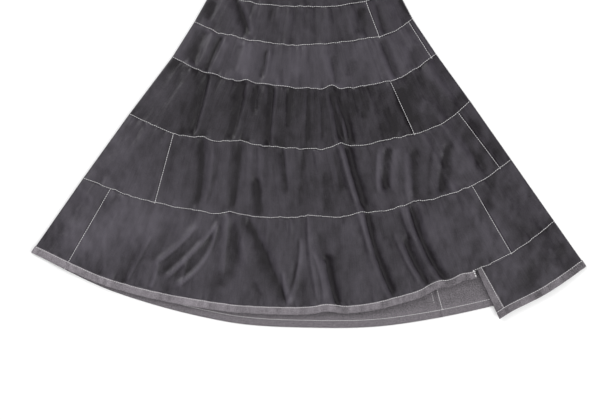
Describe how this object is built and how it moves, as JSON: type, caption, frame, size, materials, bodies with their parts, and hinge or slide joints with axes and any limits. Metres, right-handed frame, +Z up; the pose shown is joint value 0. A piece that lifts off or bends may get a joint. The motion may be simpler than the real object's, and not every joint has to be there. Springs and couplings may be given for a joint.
{
  "type": "midi skirt",
  "caption": "Flared taffeta midi skirt laid flat, its body one gathered strip wound down in a spiral of top-stitched tiers, with a stepped hem turned to the outside.",
  "frame": {"origin": "middle of the skirt's outline, on the surface that it lies on", "axes": "+X to the right across the front as it lies, +Y towards the waist, +Z up out of the front"},
  "size_m": [1.1097, 0.7616, 0.0123],
  "materials": {
    "taffeta": "crisp charcoal taffeta with a soft sheen",
    "taffeta_reverse": "the cloth's paler, duller reverse side",
    "thread": "matt off-white top-stitching thread"
  },
  "bodies": {
    "root": {"waistband": "taffeta", "yoke": "taffeta", "strip_1": "taffeta", "strip_2": "taffeta", "strip_3": "taffeta", "strip_4": "taffeta", "strip_5": "taffeta", "strip_6": "taffeta", "strip_7": "taffeta", "strip_8": "taffeta", "strip_9": "taffeta", "hem_turnup": "taffeta_reverse", "end_turnup": "taffeta_reverse"}
  },
  "joints": []
}
